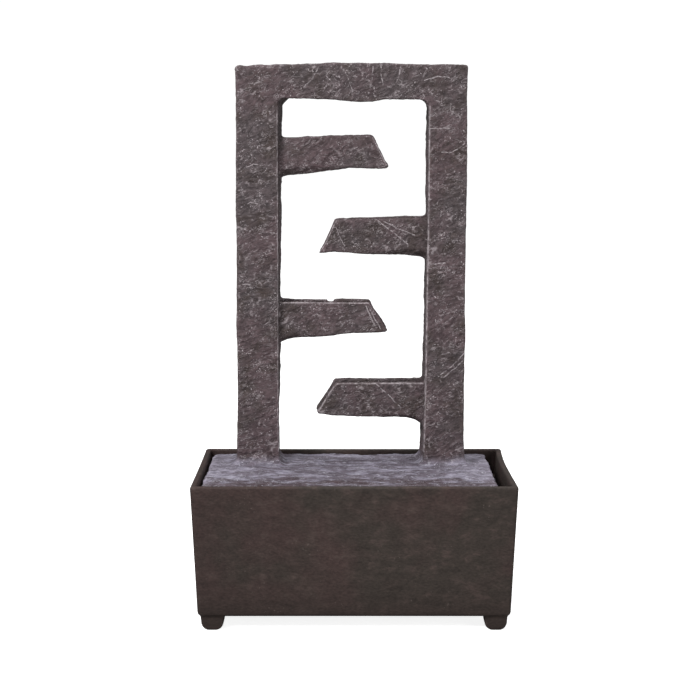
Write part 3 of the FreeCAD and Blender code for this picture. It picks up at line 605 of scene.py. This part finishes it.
def make_stone():
    verts, quads = stone_net()
    normals = vertex_normals(verts, quads)
    relief = np.clip(relief_of(verts, quads, normals, 4) / FULL_RELIEF, -1, 1)
    wide = relief_of(verts, quads, normals, 16)
    x, y, z = verts.T
    inner = np.exp(-((x - 47) / 3.5) ** 2) + 0.75 * np.exp(-((x + 48.5) / 3.5) ** 2)
    inner *= np.clip((22 - y) / 3, 0, 1) * np.clip((z - 92) / 6, 0, 1)
    lips = np.clip((27 - y) / 3, 0, 1) * (np.abs(x) < 44) * (z > 110) * (z < 310)
    slab_ends = (z < DECK_TOP + 1) * ((x > 80) | (x < -86))
    favour = 0.25 + 0.75 * np.clip(inner, 0, 1) + 0.4 * lips + 0.75 * slab_ends
    worn = np.clip((wide - 0.45) / 0.35, 0, 1) * np.clip(favour, 0, 1)
    attributes = {"relief": relief, "worn": worn, "crest": weathering(verts)[1]}

    # which piece each face goes to, by its number in the list of pieces wanted
    centre = verts[quads].mean(axis=1)
    kind = np.zeros(len(quads), int)
    kind[centre[:, 2] < DECK_TOP + FOOT_FLARE] = 1
    for number, (order, points) in enumerate(TROUGHS.items(), start=2):
        low, high = cad(f"{order}_trough")
        left = points[0][0] < 0
        along = centre[:, 0] if left else -centre[:, 0]
        past_root = (along > (-45.2 if left else -43.0)) & (along < 30)
        level = (centre[:, 2] > low[2] - 6) & (centre[:, 2] < high[2] + 6)
        level &= (centre[:, 1] > TROUGH_FRONT - 2) & (centre[:, 1] < TROUGH_BACK + 2)
        kind[level & past_root & (kind == 0)] = number
    kind[(kind == 0) & (centre[:, 2] < BEAM_FROM) & (centre[:, 0] > 0)] = 6
    kind[(kind == 0) & (centre[:, 2] < BEAM_FROM)] = 7
    wanted = [("beam_stone", "slate", ["arch_casting"]),
              ("deck_stone", "deck_slate", ["deck_casting"])]
    wanted += [(f"{order}_trough_stone", "slate", [f"{order}_trough"]) for order in TROUGHS]
    wanted += [(f"{side}_upright_stone", "slate", ["arch_casting"]) for side in ("right", "left")]
    material = stone("slate_look")
    for number, (name, slot, nodes) in enumerate(wanted):
        add_piece(name, verts, quads[kind == number], normals, attributes, "sculpture", nodes,
                  material)


make_stone()


# ---------------------------------------------------------------- basin

tub_high = cad("basin_tub")[1]
RIM, BASE, DRAFT, WALL, FLOOR = tub_high[2], 9.0, 3.7, 4.0, 12.5
HALF_WIDTH, HALF_DEPTH = tub_high[0], tub_high[1]
# from the middle: the posts' inner and outer sides, and the feet's middles
POST_X, POST_Y, POST_TOP = (78.0, 94.0), (44.0, 54.0), 75
FOOT_X, FOOT_Y, HALF_FOOT, FOOT_TOP = 87.1, 46.6, 7.3, 14
NOTCH_SIDES, NOTCH_DEPTH = (54, 62), 8


def tub_net():
    """The tapered shell with its feet, corner posts and cable notch."""
    axes = [spread((-101, -74, 0.9), (-74, 50, 2.6), (50, 66, 0.9), (66, 74, 2.6), (74, 101, 0.9)),
            spread((-61, -37, 0.9), (-37, 37, 2.6), (37, 61, 0.9)),
            spread((-1.2, 13, 0.75), (13, 71, 2.6), (71, 78, 0.9), (78, 92.5, 0.6))]
    x, y, z = axes[0][:, None, None], axes[1][None, :, None], axes[2][None, None, :]
    inset = np.maximum(RIM - z, 0) * DRAFT / (RIM - BASE)
    upper = np.clip((z - 15) / 60, 0, 1)
    along_y, along_x = y / HALF_DEPTH, x / HALF_WIDTH
    right_bow = (1.35 * (1 - along_y ** 2) + 0.35 * np.sin(2.6 * along_y)) * upper
    left_bow = 0.35 * (1 - along_y ** 2) * upper
    front_bow = 0.5 * (1 - along_x ** 2) * (0.3 + 0.7 * upper)
    back_bow = 0.9 * (1 - along_x ** 2) * upper

    def shell(step, corner):
        side = np.maximum(x - HALF_WIDTH + right_bow, -x - HALF_WIDTH + left_bow) + inset + step
        end = np.maximum(y - HALF_DEPTH + back_bow, -y - HALF_DEPTH + front_bow) + inset + step
        return both(side, end, corner)

    outside = both(both(shell(0.15, 3.0), BASE - z, 2.6), z - RIM + 0.05, 1.5)
    inside = both(shell(WALL, 2.0), FLOOR - z, 1.5)
    field = both(outside, -inside, 1.3)
    for side_x in (-1, 1):
        for side_y in (-1, 1):
            left, right = sorted(side_x * edge for edge in POST_X)
            front, back = sorted(side_y * edge for edge in POST_Y)
            post = brick(x, y, z, (left, front, 10), (right, back, POST_TOP), 1.0)
            field = either(field, post, 1.0)
            foot_x = np.abs(x - side_x * FOOT_X) - HALF_FOOT + np.maximum(BASE - z, 0) * 0.1
            foot_y = np.abs(y - side_y * FOOT_Y) - HALF_FOOT
            foot = both(both(foot_x, -z, 4.4), foot_y, 1.2)
            foot = np.maximum(foot, z - FOOT_TOP)
            field = either(field, foot, 0.8)
    notch = brick(x, y, z, (NOTCH_SIDES[0], 52, RIM - NOTCH_DEPTH), (NOTCH_SIDES[1], 66, RIM + 9),
                  0.8)
    field = both(field, -notch, 0.8)
    return surface_net(field.astype(np.float32), axes)


def tub_look():
    tree = Tree("basin_look")
    worn = tree.attribute("worn")
    x, _, z = tree.add("SeparateXYZ", {0: tree.points}).outputs
    broad = tree.noise(46.0, 3.0, tree.warped(40.0, 12.0), 0.55)["Fac"]
    broad = tree.math("MULTIPLY_ADD", x, 0.0008, broad)
    mid = tree.noise(6.0, 4.0, tree.vector("MULTIPLY", tree.warped(6.0, 2.0), (0.6, 0.6, 1.2)),
                     0.65)["Fac"]
    fine = tree.noise(1.0, 2.0, tree.vector("MULTIPLY", tree.points, (0.5, 0.5, 1.0)))["Fac"]
    color = tree.mix(tree.ramp(broad, 0.36, 0.64), srgb(64, 50, 48), srgb(56, 49, 45))
    color = tree.mix(tree.ramp(mid, 0.5, 0.75), color, srgb(67, 56, 53))
    # darker towards the bottom
    color = tree.mix(tree.ramp(z, 34.0, 4.0), color, srgb(51, 42, 39))
    spots = tree.ramp(tree.noise(1.5, 1.0)["Fac"], 0.68, 0.76)
    spots = tree.math("MULTIPLY", spots, tree.ramp(tree.noise(13.0)["Fac"], 0.5, 0.66))
    shade = tree.math("MULTIPLY_ADD", mid, 1.0, 0.5)
    shade = tree.math("ADD", shade, tree.math("MULTIPLY_ADD", fine, 1.1, -0.55))
    # painted light and shade: the colour is lightest about 25 mm right of the middle and darker
    # towards the left and right ends
    from_painted_light_peak = tree.math("MULTIPLY_ADD", x, 1 / 115, -0.22)
    middle = tree.math("MULTIPLY_ADD", tree.math("MULTIPLY", from_painted_light_peak, from_painted_light_peak), -0.15, 1.05)
    tinted = tree.vector("SCALE", color, Scale=tree.math("MULTIPLY", shade, middle))
    bright = tree.math("MAXIMUM", tree.math("MULTIPLY", spots, 0.3),
                       tree.math("MULTIPLY", worn, tree.ramp(mid, 0.3, 0.6, 0.1, 0.45)))
    color = tree.mix(bright, tinted, srgb(118, 106, 102))
    height = tree.math("ADD", tree.math("MULTIPLY", mid, 0.6), tree.math("MULTIPLY", fine, 0.4))
    rough = tree.ramp(mid, 0.2, 0.8, 0.55, 0.75)
    return tree.finish(color, rough, height, 0.22, specular=0.25)


def make_tub():
    verts, quads = tub_net()
    normals = vertex_normals(verts, quads)
    worn = np.clip((relief_of(verts, quads, normals, 4) - 0.08) / 0.3, 0, 1)
    add_piece("basin_shell", verts, quads, normals, {"worn": worn}, "basin",
              ["basin_tub"], tub_look())


make_tub()


# ---------------------------------------------------------------- pump, hose and cover

def moulded(name, light, dark, rough, grain, reach, specular=0.5, ribs=None, **shader):
    """A made material: two close tones in drifts, a fine grain, rubbed spots and, for windings
    and laminations, ribs across an axis at a pitch in millimetres."""
    tree = Tree(name)
    drift = tree.noise(7.0, 4.0, rough=0.6)["Fac"]
    fine = tree.noise(grain, 2.0)["Fac"]
    color = tree.mix(tree.ramp(drift, 0.35, 0.65), srgb(*light), srgb(*dark))
    color = tree.vector("SCALE", color, Scale=tree.math("MULTIPLY_ADD", fine, 0.3, 0.85))
    height = tree.math("MULTIPLY", fine, 0.4)
    if ribs:
        axis, pitch = ribs
        along = tree.add("SeparateXYZ", {0: tree.warped(9.0, 0.05)}).outputs[axis]
        wave = tree.math("SINE", tree.math("MULTIPLY", along, 2 * math.pi / pitch))
        height = tree.math("MULTIPLY_ADD", wave, 0.5, height)
        color = tree.vector("SCALE", color, Scale=tree.math("MULTIPLY_ADD", wave, 0.22, 0.95))
    rubbed = tree.ramp(tree.noise(3.0, 5.0, rough=0.7)["Fac"], 0.58, 0.7)
    color = tree.mix(tree.math("MULTIPLY", rubbed, 0.12), color, srgb(170, 168, 164))
    roughness = tree.ramp(drift, 0.3, 0.7, rough - 0.08, rough + 0.08)
    return tree.finish(color, roughness, height, reach, specular, **shader)


LOOKS = {
    "pump_plastic": dict(light=(46, 46, 48), dark=(38, 38, 40), rough=0.5, grain=0.5, reach=0.08),
    "impeller_plastic": dict(light=(222, 222, 216), dark=(206, 206, 198), rough=0.42, grain=0.7,
                             reach=0.04),
    "slider_plastic": dict(light=(98, 98, 100), dark=(84, 84, 87), rough=0.48, grain=0.5,
                           reach=0.06),
    "rubber": dict(light=(36, 36, 36), dark=(29, 29, 29), rough=0.72, grain=0.35, reach=0.06,
                   specular=0.35),
    "hose": dict(light=(84, 84, 84), dark=(70, 71, 72), rough=0.38, grain=0.6, reach=0.05,
                 ribs=(2, 1.6)),
    "shaft_ceramic": dict(light=(232, 228, 220), dark=(220, 216, 206), rough=0.22, grain=0.3,
                          reach=0.01),
    "core_iron": dict(light=(104, 100, 98), dark=(84, 78, 76), rough=0.5, grain=0.4, reach=0.12,
                      ribs=(0, 0.7), Metallic=0.8),
    "copper": dict(light=(176, 106, 66), dark=(150, 84, 50), rough=0.34, grain=0.5, reach=0.15,
                   ribs=(0, 0.5), Metallic=0.7),
    "magnet": dict(light=(70, 70, 73), dark=(58, 58, 62), rough=0.4, grain=0.3, reach=0.03,
                   Metallic=0.5),
    "potting": dict(light=(30, 30, 33), dark=(24, 24, 26), rough=0.2, grain=4.0, reach=0.2),
}


def make_cover():
    """The rough strip over the hose channel, let into the back of the left upright."""
    low, high = cad("hose_channel_cover")
    axes = [spread((a - 2, b + 2, 0.8)) for a, b in zip(low, high)]
    x, y, z = axes[0][:, None, None], axes[1][None, :, None], axes[2][None, None, :]
    field = np.ascontiguousarray(brick(x, y, z, low, high, 0.9)).astype(np.float32)
    near = (np.abs(field) < RELIEF_REACH) & (y > high[1] - 1.6)
    field[near] -= weathering(places_in(near, axes))[0] - 0.3
    verts, quads = surface_net(field, axes)
    normals = vertex_normals(verts, quads)
    relief = np.clip(relief_of(verts, quads, normals, 4) / FULL_RELIEF, -1, 1)
    attributes = {"relief": relief, "worn": np.zeros(len(verts)), "crest": weathering(verts)[1]}
    add_piece("channel_cover_stone", verts, quads, normals, attributes, "sculpture",
              ["hose_channel_cover"], bpy.data.materials["slate_look"])


def dress_cad_nodes():
    looks = {slot: moulded(f"{slot}_look", **facts) for slot, facts in LOOKS.items()}
    for part in frame["record"]["subparts"]:
        node = frame["nodes"][part["node"]]
        if not node.hide_render:
            node.data.materials.clear()
            node.data.materials.append(looks[part["material_slot"]])


make_cover()
dress_cad_nodes()


# ---------------------------------------------------------------- camera, lights and floor

def add_light(name, place, target, size, power):
    light = bpy.data.lights.new(name, "AREA")
    light.shape = "DISK"
    light.size = size
    light.energy = power
    lamp = bpy.data.objects.new(name, light)
    bpy.context.scene.collection.objects.link(lamp)
    lamp.location = place
    lamp.rotation_euler = (Vector(target) - Vector(place)).to_track_quat("-Z", "Y").to_euler()


def for_camera_only(tree, otherwise, seen, output):
    """One shader for what the camera sees directly, and another for the light it gives off."""
    path = tree.nodes.new("ShaderNodeLightPath")
    blend = tree.nodes.new("ShaderNodeMixShader")
    tree.links.new(path.outputs["Is Camera Ray"], blend.inputs[0])
    tree.links.new(otherwise.outputs[0], blend.inputs[1])
    tree.links.new(seen.outputs[0], blend.inputs[2])
    tree.links.new(blend.outputs[0], tree.nodes[output].inputs[0])


def make_setting():
    scene = bpy.context.scene
    scene.view_settings.view_transform = "Standard"
    lens = bpy.data.cameras.new("camera")
    lens.lens = 85.84
    lens.sensor_width = 36.0
    lens.shift_y = -0.065
    camera = bpy.data.objects.new("camera", lens)
    camera.location = (-0.0025, -1.050, 0.3142)
    camera.rotation_euler = (math.radians(90 - 6.456), 0, 0)
    scene.collection.objects.link(camera)
    scene.camera = camera

    world = bpy.data.worlds.new("studio")
    scene.world = world
    world.use_nodes = True
    nodes = world.node_tree.nodes
    glow = nodes["Background"]
    glow.inputs["Color"].default_value = (1, 1, 1, 1)
    glow.inputs["Strength"].default_value = 0.3
    seen = nodes.new("ShaderNodeBackground")
    seen.inputs["Color"].default_value = (1, 1, 1, 1)
    seen.inputs["Strength"].default_value = 1.05
    for_camera_only(world.node_tree, glow, seen, "World Output")

    add_light("key", (-0.75, -0.95, 1.05), (0, 0, 0.18), 0.6, 17.0)
    add_light("fill", (0.95, -0.9, 0.5), (0, 0, 0.18), 0.8, 4.5)
    add_light("top", (0.1, 0.1, 1.4), (0, 0, 0.1), 0.9, 9.0)

    half = 4.0
    mesh = bpy.data.meshes.new("floor")
    mesh.from_pydata([(-half, -half, 0), (half, -half, 0), (half, half, 0), (-half, half, 0)], [],
                     [(0, 1, 2, 3)])
    floor = bpy.data.objects.new("floor", mesh)
    scene.collection.objects.link(floor)
    paint = bpy.data.materials.new("pale_floor")
    paint.use_nodes = True
    nodes = paint.node_tree.nodes
    shader = nodes["Principled BSDF"]
    shader.inputs["Base Color"].default_value = (0.9, 0.9, 0.9, 1)
    shader.inputs["Roughness"].default_value = 0.9
    shader.inputs["Specular IOR Level"].default_value = 0.1
    shader.inputs["Emission Color"].default_value = (1, 1, 1, 1)
    shader.inputs["Emission Strength"].default_value = 0.86
    dim = nodes.new("ShaderNodeBsdfDiffuse")
    dim.inputs["Color"].default_value = (0.42, 0.41, 0.4, 1)
    for_camera_only(paint.node_tree, dim, shader, "Material Output")
    mesh.materials.append(paint)


make_setting()
